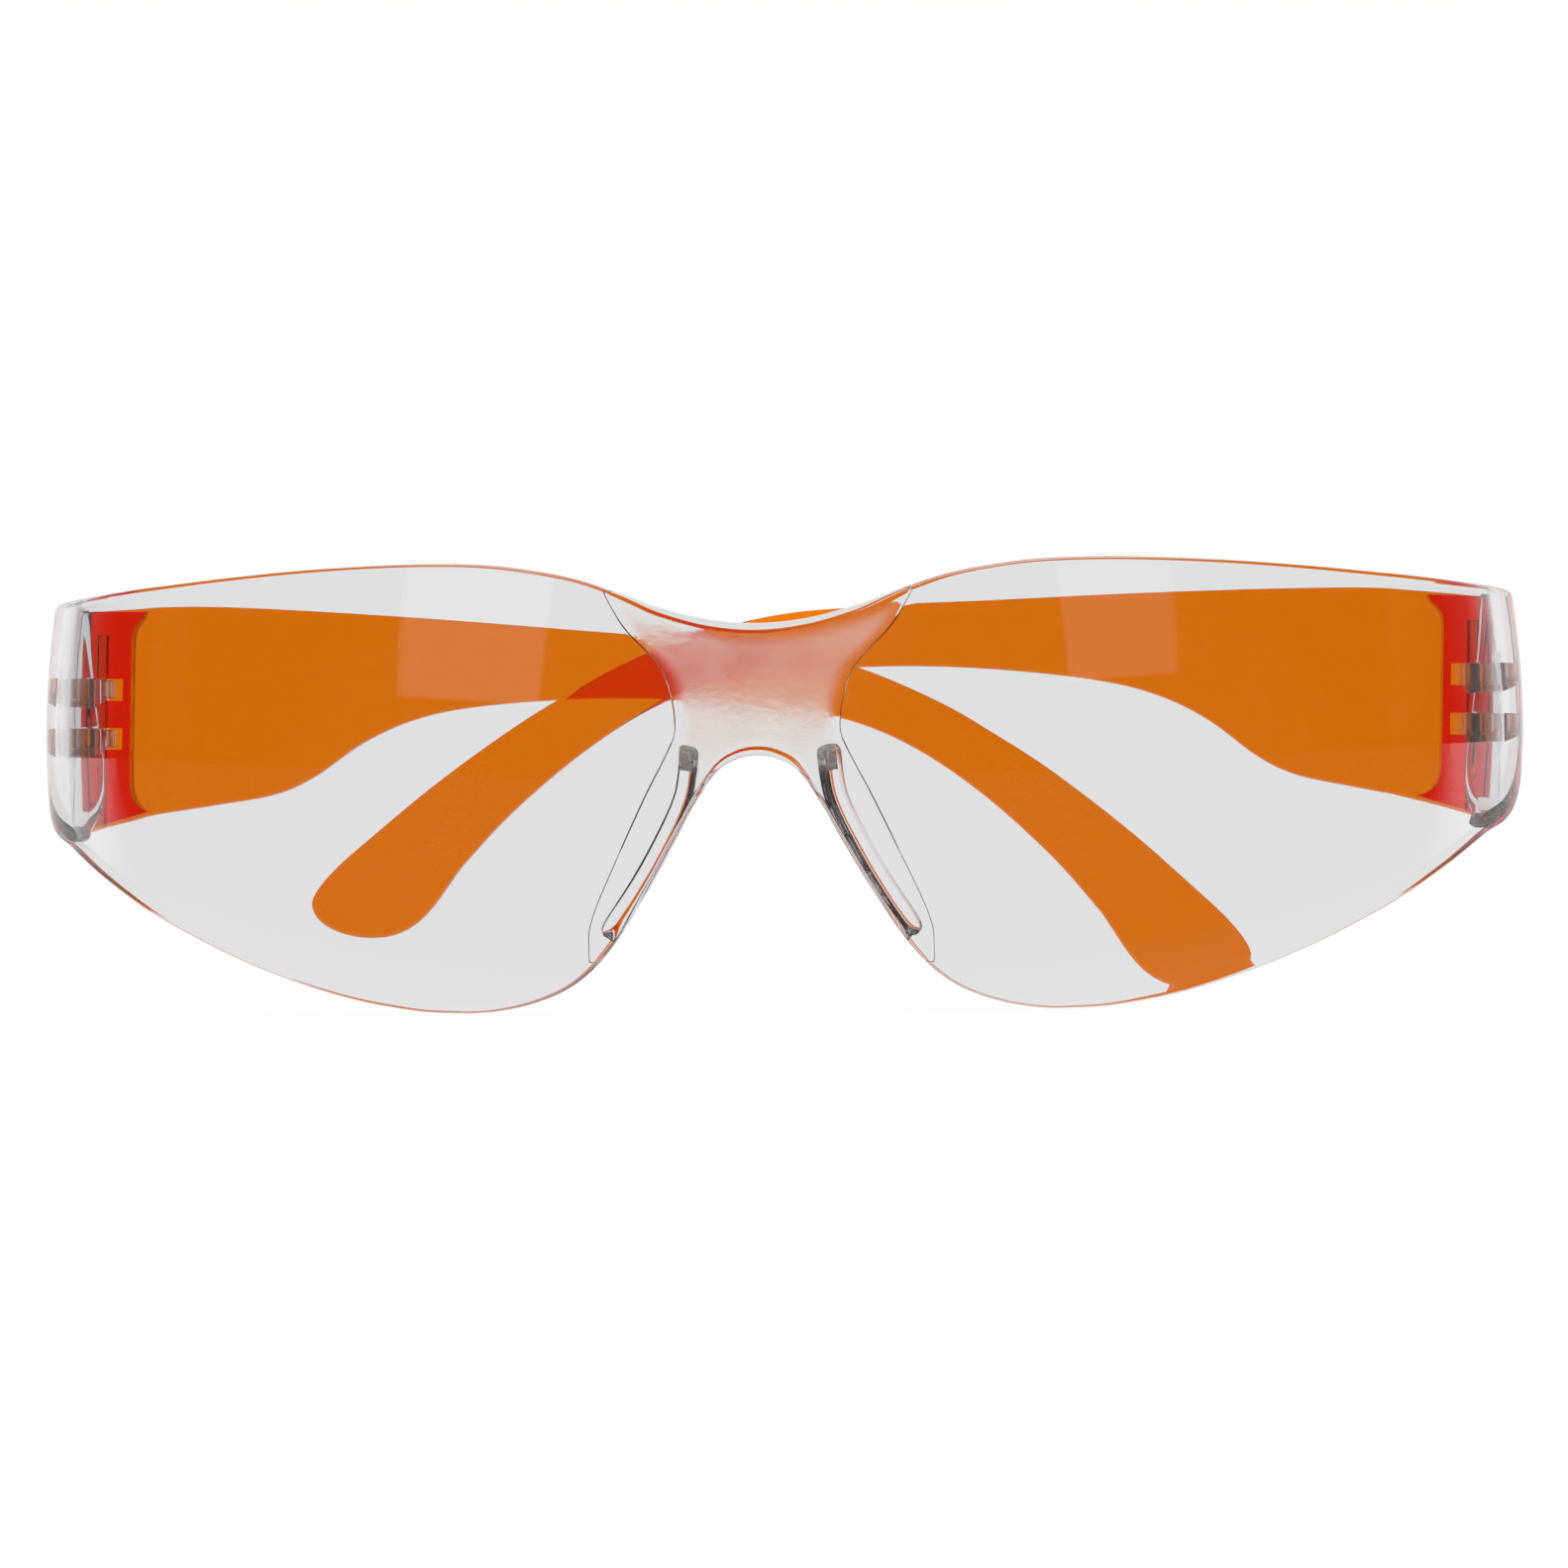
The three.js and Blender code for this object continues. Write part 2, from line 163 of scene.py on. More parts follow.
# The temple's side view, along it and up from its hinge.
TEMPLE_UNDER = (
    (BLOCK_END, -11.5), (5, -9.65), (12, -8.4), (18, -7.25), (22, -5.45), (27, -1.9),
    (32, 0.45), (38, 1.85), (48, 2.8), (58, 3.0), (68, 2.4), (76, 1.2), (83, -1.6),
    (90, -6.2), (97, -12.3), (102, -17.8),
)
TEMPLE_TIP = (
    ((104.5, -21.2), (106, -25.1), (111, -25.1)),
    ((114, -25.1), (117.2, -23.8), (117.1, -21.6)),
    ((116.9, -20.2), (114.5, -17.8), (112.5, -16.1)),
)
TEMPLE_OVER = (
    (112.5, -16.1), (105, -9.7), (97, -3.75), (91, 0), (85, 3.3), (77, 6.5), (69, 8.4),
    (60, 9.15), (50, 9.7), (36, 10.6), (22, 11.3), (11, 11.6), (3, 11.3), (BLOCK_END, 11.0),
)

FRONT_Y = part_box("lens")[0].y / MM  # where the lens's foremost point stands


# ---- Curves --------------------------------------------------------------------------------

def lerp(a, b, t):
    return a + (b - a) * t


def smooth(low, high, value):
    """0 below low, 1 above high, and smooth between."""
    t = min(1.0, max(0.0, (value - low) / (high - low)))
    return t * t * (3 - 2 * t)


def curve_through(points):
    """A smooth function through (place, value) points, flat at the first, held past the last."""
    places = [p for p, _ in points]
    values = [v for _, v in points]
    last = len(points) - 1
    slopes = []
    for i in range(last + 1):
        low, high = max(0, i - 1), min(last, i + 1)
        slopes.append(0 if i == 0 else (values[high] - values[low]) / (places[high] - places[low]))

    def value(place):
        place = min(max(place, places[0]), places[-1])
        i = 0
        while i < last - 1 and place > places[i + 1]:
            i += 1
        span = places[i + 1] - places[i]
        t = (place - places[i]) / span
        a, b = values[i], values[i + 1]
        p, q = slopes[i] * span, slopes[i + 1] * span
        return a + t * (p + t * (3 * (b - a) - 2 * p - q + t * (2 * (a - b) + p + q)))

    return value


top_edge = curve_through(TOP_EDGE)
bottom_edge = curve_through(BOTTOM_EDGE)
step_line = curve_through(STEP_LINE)


def spline(points, steps):
    """Points along a smooth line through the given ones, steps to each stretch."""
    vectors = [Vector(p) for p in points]
    made = []
    for i in range(len(vectors) - 1):
        before = vectors[max(0, i - 1)]
        a, b = vectors[i], vectors[i + 1]
        after = vectors[min(len(vectors) - 1, i + 2)]
        leave, arrive = (b - before) / 2, (after - a) / 2
        for k in range(steps):
            t = k / steps
            cubic = 2 * t ** 3 - 3 * t ** 2
            made.append(
                a * (cubic + 1) + b * -cubic
                + leave * (t ** 3 - 2 * t ** 2 + t) + arrive * (t ** 3 - t ** 2)
            )
    made.append(vectors[-1])
    return made


def bezier(start, bends, steps):
    """Points along one cubic, without its first."""
    a, b, c, d = Vector(start), Vector(bends[0]), Vector(bends[1]), Vector(bends[2])
    made = []
    for k in range(1, steps + 1):
        t = k / steps
        u = 1 - t
        made.append(a * u ** 3 + b * 3 * u * u * t + c * 3 * u * t * t + d * t ** 3)
    return made


def arc(centre, radius, start, end, steps):
    """Points round a circle, angles in degrees."""
    made = []
    for k in range(steps + 1):
        angle = math.radians(lerp(start, end, k / steps))
        x = centre[0] + radius * math.cos(angle)
        y = centre[1] + radius * math.sin(angle)
        made.append(Vector((x, y)))
    return made


# ---- Meshes --------------------------------------------------------------------------------

def volume(mesh):
    """The volume that a closed mesh holds, negative if it is inside out."""
    work = bmesh.new()
    work.from_mesh(mesh)
    held = work.calc_volume(signed=True)
    work.free()
    return held


def split_large_faces(mesh):
    """Cuts faces of more than four corners into triangles, so that they render and join cleanly."""
    work = bmesh.new()
    work.from_mesh(mesh)
    large = [face for face in work.faces if len(face.verts) > 4]
    bmesh.ops.triangulate(work, faces=large, ngon_method="BEAUTY")
    work.to_mesh(mesh)
    work.free()


def mesh_object(name, points, faces, place=None):
    """A closed mesh from points in millimetres, turned to face out whichever way it was drawn."""
    turn = place or Matrix.Identity(4)
    mesh = bpy.data.meshes.new(name)
    mesh.from_pydata([(turn @ Vector(p)) * MM for p in points], [], faces)
    split_large_faces(mesh)
    if volume(mesh) < 0:
        mesh.flip_normals()
    mesh.update()
    made = bpy.data.objects.new(name, mesh)
    bpy.context.scene.collection.objects.link(made)
    return made


def swept(name, rings, place=None):
    """A closed mesh through rings of equal length, with a flat face on each end ring. The way
    round that the rings run decides how the curved faces split into triangles."""
    size = len(rings[0])
    points = [p for ring in rings for p in ring]
    faces = []
    for i in range(len(rings) - 1):
        for j in range(size):
            a, b = i * size + j, i * size + (j + 1) % size
            faces.append((a, b, b + size, a + size))
    faces.append(tuple(reversed(range(size))))
    start = (len(rings) - 1) * size
    faces.append(tuple(range(start, start + size)))
    return mesh_object(name, points, faces, place)


def inset(outline, distance):
    """A closed counter-clockwise outline, moved inwards."""
    moved = []
    for i, here in enumerate(outline):
        before, after = outline[i - 1], outline[(i + 1) % len(outline)]
        back = (here - before).normalized()
        ahead = (after - here).normalized()
        normal = Vector((-(back.y + ahead.y), back.x + ahead.x)).normalized()
        spread = max(0.5, normal.dot(Vector((-ahead.y, ahead.x))))
        moved.append(here + normal * (distance / spread))
    return moved


def rounded_plate(name, outline, low, high, rounding, to_space, place=None):
    """A counter-clockwise outline extruded from low to high with rounded rims. to_space gives
    the place of an outline point at a height."""
    steps = 4
    rings = []
    for side, level in ((1, low), (-1, high)):
        turns = range(steps, -1, -1) if side == 1 else range(steps + 1)
        for k in turns:
            angle = math.pi / 2 * k / steps
            height = level + side * rounding * (1 - math.sin(angle))
            loop = inset(outline, rounding * (1 - math.cos(angle)))
            rings.append([to_space(p.x, p.y, height) for p in loop])
    return swept(name, rings, place)


def combined(target, others, operation):
    """Joins others onto target, or cuts them out of it, and removes them."""
    for other in others:
        modifier = target.modifiers.new("combine", "BOOLEAN")
        modifier.object = other
        modifier.operation = operation
        modifier.solver = "MANIFOLD"
        graph = bpy.context.evaluated_depsgraph_get()
        made = bpy.data.meshes.new_from_object(target.evaluated_get(graph))
        target.modifiers.clear()
        grown = volume(made) - volume(target.data)
        if (grown > 0) != (operation == "UNION"):
            raise RuntimeError(f"{other.name}: {operation} changed the volume the wrong way")
        old = target.data
        target.data = made
        bpy.data.meshes.remove(old)
        bpy.data.meshes.remove(other.data)
    return target


def weld(mesh):
    """Merges the corners that joining leaves less than a micrometre apart, and drops those that
    only bend the edge between two faces."""
    work = bmesh.new()
    work.from_mesh(mesh)
    bmesh.ops.dissolve_degenerate(work, dist=MICROMETRE, edges=work.edges)
    bmesh.ops.remove_doubles(work, verts=work.verts, dist=MICROMETRE)
    spare = [vertex for vertex in work.verts if len(vertex.link_edges) == 2]
    bmesh.ops.dissolve_verts(work, verts=spare)
    work.to_mesh(mesh)
    work.free()


def shade(piece):
    """Smooth over the surface, crisp at edges sharper than SHARP_ANGLE. Flat faces stay flat
    beside a rounded rim, because larger faces weigh more in a corner's normal."""
    mesh = piece.data
    weld(mesh)
    mesh.polygons.foreach_set("use_smooth", [True] * len(mesh.polygons))
    mesh.set_sharp_from_angle(angle=SHARP_ANGLE)
    modifier = piece.modifiers.new("even", "WEIGHTED_NORMAL")
    modifier.keep_sharp = True
    graph = bpy.context.evaluated_depsgraph_get()
    piece.data = bpy.data.meshes.new_from_object(piece.evaluated_get(graph))
    piece.modifiers.clear()
    bpy.data.meshes.remove(mesh)


# ---- The lens ------------------------------------------------------------------------------

def wrap(s):
    """The outer surface from above: how far out, how far back, and its heading."""
    reach = abs(s)
    corner_start = FRONT_ARC / FRONT_RADIUS
    corner_arc = CORNER_RADIUS * (SIDE_ANGLE - corner_start)
    heading = reach / FRONT_RADIUS
    if reach > FRONT_ARC:
        heading = min(SIDE_ANGLE, corner_start + (reach - FRONT_ARC) / CORNER_RADIUS)
    front = min(heading, corner_start)
    straight = max(0, reach - FRONT_ARC - corner_arc)
    x = FRONT_RADIUS * math.sin(front)
    y = FRONT_RADIUS * (1 - math.cos(front))
    x += CORNER_RADIUS * (math.sin(heading) - math.sin(front))
    y += CORNER_RADIUS * (math.cos(front) - math.cos(heading))
    x += straight * math.cos(SIDE_ANGLE)
    y += straight * math.sin(SIDE_ANGLE)
    return x, y, heading


def lens_point(s, z, depth):
    """A point a given depth inside the lens's outer surface."""
    x, y, heading = wrap(s)
    bulge = lerp(BARREL_FRONT, BARREL_REAR, abs(s) / LENS_REACH)
    inward = depth + (z - bulge) ** 2 / (2 * BARREL_RADIUS)
    out = math.copysign(x - inward * math.sin(heading), s)
    return Vector((out, FRONT_Y + y + inward * math.cos(heading), z))


def wall_at(s, z):
    """The bridge is thicker than the lens, with a narrow step along its boundary."""
    outside = abs(s) - step_line(z)
    return WALL + BRIDGE_EXTRA * (1 - smooth(-STEP_WIDTH / 2, STEP_WIDTH / 2, outside))


def lens_columns():
    """Where one half's cross-sections stand: from 0 in the middle to 1 at the step, to 2 at the
    end of the step's zone, then 1 to each millimetre, closer together towards the rear edge."""
    half = [k / 50 for k in range(50)]
    half += [0.994, 0.998, 1.002, 1.006]
    half += [1 + k / 12 for k in range(1, 13)]
    half += [2 + k for k in range(1, 57)]
    half += [58 + 10.5 * math.sin(math.pi / 2 * k / 16) for k in range(1, 17)]
    return half


def reach_of(column, z):
    """The arc length of a column at a height. The columns follow the step near the bridge."""
    line = step_line(z)
    if column < 1:
        return column * line
    if column < 2:
        return lerp(line, STEP_ZONE, column - 1)
    return STEP_ZONE + column - 2


def edge_height(column, edge):
    """The height at which a column meets the top or bottom edge, found by halving."""
    low, high = -1.0, 46.0
    for _ in range(40):
        middle = (low + high) / 2
        if middle < edge(reach_of(column, middle)):
            low = middle
        else:
            high = middle
    return low


def lens_section(side, column, shrink):
    """The lens's cross-section in one column, drawn in by shrink all round, as a ring."""
    rows, turns = 60, 5
    low, high = edge_height(column, bottom_edge), edge_height(column, top_edge)

    def lean(edge, z):
        s = reach_of(column, z)
        slope = (edge(s + 0.3) - edge(max(0, s - 0.3))) / 0.6
        return min(2.0, math.hypot(1, slope))

    rounding = lerp(RIM_ROUND, BRIDGE_ROUND, 1 - smooth(10, 19, reach_of(column, high)))
    rounding = max(0.05, rounding - shrink)
    low_lean, high_lean = lean(bottom_edge, low), lean(top_edge, high)
    low_in = low + (shrink + rounding) * low_lean
    high_in = high - (shrink + rounding) * high_lean

    def at(z, depth, from_back=False):
        s = reach_of(column, z)
        return lens_point(side * s, z, wall_at(s, z) - depth if from_back else depth)

    def rim(z_in, reach, from_back, order):
        ring = []
        for k in order:
            angle = math.pi / 2 * k / turns
            depth = shrink + rounding * (1 - math.cos(angle))
            ring.append(at(z_in + reach * math.sin(angle), depth, from_back))
        return ring

    outward, inward = range(1, turns + 1), range(turns, 0, -1)
    levels = [lerp(low_in, high_in, j / rows) for j in range(rows + 1)]
    ring = [at(z, shrink) for z in levels]
    ring += rim(high_in, rounding * high_lean, False, outward)
    ring += rim(high_in, rounding * high_lean, True, inward)
    ring += [at(z, shrink, True) for z in reversed(levels)]
    ring += rim(low_in, -rounding * low_lean, True, outward)
    ring += rim(low_in, -rounding * low_lean, False, inward)
    return ring


def lens_shell():
    """The clear shield, with rounded rims all round."""
    last = LENS_REACH - STEP_ZONE + 2
    ends = []
    for k in range(5):
        angle = math.pi / 2 * k / 4
        ends.append((last - RIM_ROUND * (1 - math.sin(angle)), RIM_ROUND * (1 - math.cos(angle))))
    half = [(column, 0) for column in lens_columns() if column < last - RIM_ROUND - 0.05] + ends
    rings = [lens_section(-1, column, shrink) for column, shrink in reversed(half[1:])]
    rings += [lens_section(1, column, shrink) for column, shrink in half]
    return swept("lens_clear", [list(reversed(ring)) for ring in rings])


def fin(name, side, line, reach, inset_by, thick, flare):
    """A fin behind the lens along part of its edge. line is in arc length and height, with the
    lens on its left; reach(t) is how far it goes behind the outer surface at share t of it."""
    rings = []
    count = len(line)
    for i, edge in enumerate(line):
        t = i / (count - 1)
        along = (line[min(count - 1, i + 1)] - line[max(0, i - 1)]).normalized()
        closing = min(1.0, min(t, 1 - t) * 14)
        full = max(0.15, math.sqrt(1 - (1 - closing) ** 2))
        half = thick / 2 * full
        far = reach(t)
        ring = []
        for depth, aside in fin_section(half, far):
            back = (depth - FIN_ROOT) / (far - FIN_ROOT)
            away = inset_by + thick / 2 + aside + flare * back * back
            s, z = edge.x - along.y * away, edge.y + along.x * away
            ring.append(lens_point(side * s, z, depth))
        rings.append(ring if side < 0 else list(reversed(ring)))
    return swept(name, rings)


def fin_section(half, far):
    """A fin's cross-section as (depth, aside) points: straight sides and a round rear edge."""
    steps = 12
    bulge = 0.95 * half
    straight = far - bulge
    out = [(lerp(FIN_ROOT, straight, k / steps), -half) for k in range(steps)]
    angles = [math.pi * k / 10 for k in range(11)]
    bend = [(straight + bulge * math.sin(angle), -half * math.cos(angle)) for angle in angles]
    home = [(lerp(straight, FIN_ROOT, (k + 1) / steps), half) for k in range(steps)]
    return out + bend + home


def nose_fin(side):
    """A nose flange, deepest in its upper half and flaring away from the nose as it goes back."""
    line = spline(FIN_LINE, 12)

    def reach(t):
        full = lerp(FIN_TIP, FIN_DEPTH, math.sqrt(smooth(1, 1 - FIN_SHALLOW, t)))
        return lerp(FIN_TIP, full, min(1, t / FIN_CORNER) ** 0.7)

    return fin("nose_fin", side, line, reach, FIN_INSET, FIN_THICK, FIN_FLARE)


def rear_lip(side):
    """The inward lip along the rear edge of a side wall, deepest beside the lugs."""
    line = spline(BOTTOM_EDGE[17:] + ((LENS_REACH, 34.5), (LENS_REACH, 40.4)), 6)

    def reach(t):
        return WALL + lerp(LIP_ENDS, LIP_MIDDLE, math.sin(math.pi * t))

    return fin("rear_lip", side, line, reach, LIP_INSET, LIP_THICK, 0)


def lug(side, height):
    """One hinge lug: a bar along the side wall that ends round the pin."""
    outline = [Vector((LUG_ROOT_X, LUG_ROOT_Y)), Vector((LUG_ROOT_X, LUG_FRONT_Y + 1.6))]
    outline.append(Vector((HINGE_X - LUG_RADIUS, LUG_FRONT_Y)))
    outline.append(Vector((HINGE_X - LUG_RADIUS, LUG_ROOT_Y)))
    outline += reversed(arc((HINGE_X, HINGE_Y), LUG_RADIUS, 0, 180, 20))
    outline.append(Vector((HINGE_X + LUG_RADIUS, LUG_ROOT_Y + 0.6)))
    outline.reverse()

    def to_space(x, y, level):
        back = min(1, (y - LUG_FRONT_Y) / (LUG_ROOT_Y - LUG_FRONT_Y))
        tall = lerp(LUG_FRONT_TALL, LUG_REAR_TALL, back)
        middle = HINGE_Z + height - LUG_DROOP * (1 - back)
        return Vector((side * x, FRONT_Y + y, middle + level * tall))

    return rounded_plate("lug", outline, -0.5, 0.5, LUG_ROUND, to_space)


def hinge_place(side):
    """A hinge's own frame: x along the folded temple, y back, z up the pin."""
    place = Matrix.Translation((side * HINGE_X, FRONT_Y + HINGE_Y, HINGE_Z))
    place = place @ Matrix.Rotation(HINGE_LEAN, 4, "Y") @ Matrix.Rotation(FOLD_OFFSET, 4, "Z")
    return place @ Matrix.Diagonal((-side, 1, 1, 1))


def upright_rod(name, radius, low, high, rounding, place):
    """A round rod along z with rounded rims."""
    outline = arc((0, 0), radius, 0, 360, 48)[:-1]
    return rounded_plate(name, outline, low, high, rounding, lambda x, y, z: (x, y, z), place)


def build_lens():
    """The shield with its nose flanges, rear lips and lugs, bored for the pins."""
    lens = lens_shell()
    for side in (-1, 1):
        parts = [nose_fin(side), rear_lip(side)] + [lug(side, height) for height in LUG_HEIGHTS]
        combined(lens, parts, "UNION")
        bore = upright_rod("bore", PIN_RADIUS + PIN_PLAY, -8, 8, 0.01, hinge_place(side))
        combined(lens, [bore], "DIFFERENCE")
    shade(lens)
    mark_frost(lens.data)
    return lens


def on_lug(x, back, z):
    """Whether a point of the lens belongs to a lug. back is how far behind the lens's front."""
    aside = min(abs(z - HINGE_Z - height) for height in LUG_HEIGHTS)
    along = LUG_FRONT_Y - 0.1 < back < HINGE_Y + LUG_RADIUS + 0.05
    return along and 66 < abs(x) < 71 and aside < 2.05


def mark_frost(mesh):
    """Marks how frosted the bridge and the lugs are at each point, for the material, which also
    warms the frosted parts with painted orange light.
    """
    frost = mesh.attributes.new("frost", "FLOAT", "POINT")
    for vertex, value in zip(mesh.vertices, frost.data):
        x, y, z = vertex.co / MM
        if on_lug(x, y - FRONT_Y, z):
            value.value = LUG_FROST
        if abs(x) > 20 or y - FRONT_Y > 6:
            continue
        s = FRONT_RADIUS * math.asin(abs(x) / FRONT_RADIUS)
        inside = smooth(0.2, 2.2, step_line(z) - s)
        below_top = smooth(0.6, 2.6, top_edge(s) - z)
        above_arch = smooth(0.8, 2.0, z - bottom_edge(s)) * smooth(22, 27, z)
        value.value = inside * below_top * above_arch


# ---- The temples ---------------------------------------------------------------------------

def temple_outline():
    outline = spline(TEMPLE_UNDER, 6)
    for bends in TEMPLE_TIP:
        outline += bezier(outline[-1], bends, 10)
    return outline + spline(TEMPLE_OVER, 6)[1:]


def side_view(x, z, level):
    """From a temple's side view, and a level that rises towards the lens, to its hinge's frame."""
    return Vector((x, -level, z))


def block_outline():
    """The thick hinge end from the side: its boundary flares at the top and bottom."""
    flare = BLOCK_REACH + BLOCK_FLARE
    outline = [Vector((BLOCK_END, BLOCK_LOW)), Vector((flare + 0.9, BLOCK_LOW + 2.2))]
    outline += bezier(outline[-1], ((flare, -8.9), (BLOCK_REACH, -8.4), (BLOCK_REACH, -6)), 8)
    outline += bezier(outline[-1], ((BLOCK_REACH, -3), (BLOCK_REACH, 5), (BLOCK_REACH, 8)), 2)
    outline += bezier(outline[-1], ((BLOCK_REACH, 10), (flare, 10), (flare, BLOCK_HIGH)), 8)
    outline.append(Vector((BLOCK_END, BLOCK_HIGH)))
    return outline


def slot_outline(height):
    """A slot for a lug from the side, open past the end of the block."""
    past = -6
    low, high = height - SLOT_TALL / 2, height + SLOT_TALL / 2
    return [Vector(p) for p in ((past, low), (SLOT_REACH, low), (SLOT_REACH, high), (past, high))]


def build_temple(side):
    """The plate and its hinge block, cut for the two lugs and bored for the pin from below."""
    place = hinge_place(side)
    name = "temple_orange_left" if side < 0 else "temple_orange_right"

    def plate(name, outline, low, high, rounding):
        return rounded_plate(name, outline, low, high, rounding, side_view, place)

    temple = plate(name, temple_outline(), -PLATE_OUTER, -PLATE_INNER, TEMPLE_ROUND)
    block_low = -PLATE_OUTER + BLOCK_SUNK
    block = plate("block", block_outline(), block_low, -BLOCK_INNER, BLOCK_ROUND)
    combined(temple, [block], "UNION")
    cuts = [plate("slot", slot_outline(h), -PLATE_INNER, 6, SLOT_ROUND) for h in LUG_HEIGHTS]
    cuts.append(upright_rod("bore", PIN_RADIUS + PIN_PLAY, -20, PIN_HIGH + PIN_PLAY, 0.05, place))
    combined(temple, cuts, "DIFFERENCE")
    shade(temple)
    return temple


def build_pin(side):
    """A clear pin with domed ends."""
    name = "pin_clear_left" if side < 0 else "pin_clear_right"
    pin = upright_rod(name, PIN_RADIUS, PIN_LOW, PIN_HIGH, PIN_ROUND, hinge_place(side))
    shade(pin)
    return pin


# ---- Materials -----------------------------------------------------------------------------

def new_material(name):
    material = bpy.data.materials.new(name)
    material.use_nodes = True
    nodes = material.node_tree.nodes
    nodes.clear()
    output = nodes.new("ShaderNodeOutputMaterial")
    shader = nodes.new("ShaderNodeBsdfPrincipled")
    material.node_tree.links.new(shader.outputs["BSDF"], output.inputs["Surface"])
    return material, nodes, material.node_tree.links, shader, output


def noise(nodes, links, coords, scale, detail):
    """A noise texture fixed to the object, scale to the metre."""
    made = nodes.new("ShaderNodeTexNoise")
    made.inputs["Scale"].default_value = scale
    made.inputs["Detail"].default_value = detail
    links.new(coords.outputs["Object"], made.inputs["Vector"])
    return made


def remap(nodes, links, source, low, high, to_low, to_high):
    """A value moved from one range to another, and kept within it."""
    made = nodes.new("ShaderNodeMapRange")
    made.inputs["From Min"].default_value = low
    made.inputs["From Max"].default_value = high
    made.inputs["To Min"].default_value = to_low
    made.inputs["To Max"].default_value = to_high
    links.new(source, made.inputs["Value"])
    return made.outputs["Result"]


def multiply(nodes, links, a, b):
    made = nodes.new("ShaderNodeMath")
    made.operation = "MULTIPLY"
    links.new(a, made.inputs[0])
    links.new(b, made.inputs[1])
    return made.outputs["Value"]


def bump(nodes, links, height, strength, distance, below=None):
    """A bumpy normal, on top of another if below is given."""
    made = nodes.new("ShaderNodeBump")
    made.inputs["Strength"].default_value = strength
    made.inputs["Distance"].default_value = distance
    links.new(height, made.inputs["Height"])
    if below is not None:
        links.new(below, made.inputs["Normal"])
    return made.outputs["Normal"]


def clear_material():
    """Clear polycarbonate: polished, with a frosted, grained bridge whose warm colour is painted
    orange light.
    """
    material, nodes, links, shader, _ = new_material("clear_polycarbonate")
    coords = nodes.new("ShaderNodeTexCoord")
    frost = nodes.new("ShaderNodeAttribute")
    frost.attribute_name = "frost"
    patches = noise(nodes, links, coords, scale=320, detail=3)
    uneven = remap(nodes, links, patches.outputs["Fac"], 0.35, 0.65, 0.7, 1.0)
    frosted = multiply(nodes, links, frost.outputs["Fac"], uneven)
    grain = noise(nodes, links, coords, scale=1500, detail=4)
    grain_height = multiply(nodes, links, grain.outputs["Fac"], frosted)
    flow = noise(nodes, links, coords, scale=25, detail=2)
    flowing = bump(nodes, links, flow.outputs["Fac"], 0.02, 0.001)
    links.new(bump(nodes, links, grain_height, 0.12, 0.0002, flowing), shader.inputs["Normal"])
    links.new(remap(nodes, links, frosted, 0, 1, 0.01, 0.22), shader.inputs["Roughness"])
    passed = remap(nodes, links, frosted, 0, 1, 1.0, 0.78)
    links.new(passed, shader.inputs["Transmission Weight"])
    # Painted light: where frosted, the colour warms towards orange, in place of light from the
    # temples scattered in the frost.
    clear_or_painted_warm_tint = nodes.new("ShaderNodeMix")
    clear_or_painted_warm_tint.data_type = "RGBA"
    clear_or_painted_warm_tint.inputs["A"].default_value = CLEAR_TINT
    clear_or_painted_warm_tint.inputs["B"].default_value = FROST_PAINTED_ORANGE_LIGHT
    links.new(frosted, clear_or_painted_warm_tint.inputs["Factor"])
    links.new(clear_or_painted_warm_tint.outputs["Result"], shader.inputs["Base Color"])
    shader.inputs["IOR"].default_value = PLASTIC_IOR
    return material


def orange_material():
    """Transparent orange plastic that reddens with thickness."""
    material, nodes, links, shader, output = new_material("orange_polycarbonate")
    coords = nodes.new("ShaderNodeTexCoord")
    mottle = noise(nodes, links, coords, scale=240, detail=4)
    roughness = remap(nodes, links, mottle.outputs["Fac"], 0.3, 0.7, 0.02, 0.1)
    links.new(roughness, shader.inputs["Roughness"])
    links.new(bump(nodes, links, mottle.outputs["Fac"], 0.06, 0.0004), shader.inputs["Normal"])
    shader.inputs["Base Color"].default_value = (1, 1, 1, 1)
    shader.inputs["Transmission Weight"].default_value = 1
    shader.inputs["IOR"].default_value = PLASTIC_IOR
    absorb = nodes.new("ShaderNodeVolumeAbsorption")
    absorb.inputs["Color"].default_value = ORANGE_PASSED
    absorb.inputs["Density"].default_value = ORANGE_DENSITY
    links.new(absorb.outputs["Volume"], output.inputs["Volume"])
    return material


def pin_material():
    """Clear moulded pins, slightly dull."""
    material, nodes, links, shader, _ = new_material("pin_plastic")
    coords = nodes.new("ShaderNodeTexCoord")
    marks = noise(nodes, links, coords, scale=1500, detail=3)
    roughness = remap(nodes, links, marks.outputs["Fac"], 0.3, 0.7, 0.03, 0.12)
    links.new(roughness, shader.inputs["Roughness"])
    shader.inputs["Base Color"].default_value = PIN_TINT
    shader.inputs["Transmission Weight"].default_value = 1
    shader.inputs["IOR"].default_value = PLASTIC_IOR
    return material


def dress(piece, material, body, slot, *nodes):
    """Gives a piece its material and the body it rides, and hides the CAD nodes it replaces. slot
    is not used.
    """
    piece.data.materials.clear()
    piece.data.materials.append(material)
    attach(piece, body)
    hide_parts(*nodes)


# ---- The studio ----------------------------------------------------------------------------

def mirrored_share(nodes, links):
    """0 where light is seen directly or through the plastic, 1 where it is seen mirrored."""
    path = nodes.new("ShaderNodeLightPath")
    return remap(nodes, links, path.outputs["Glossy Depth"], 0, 1, 0, 1)


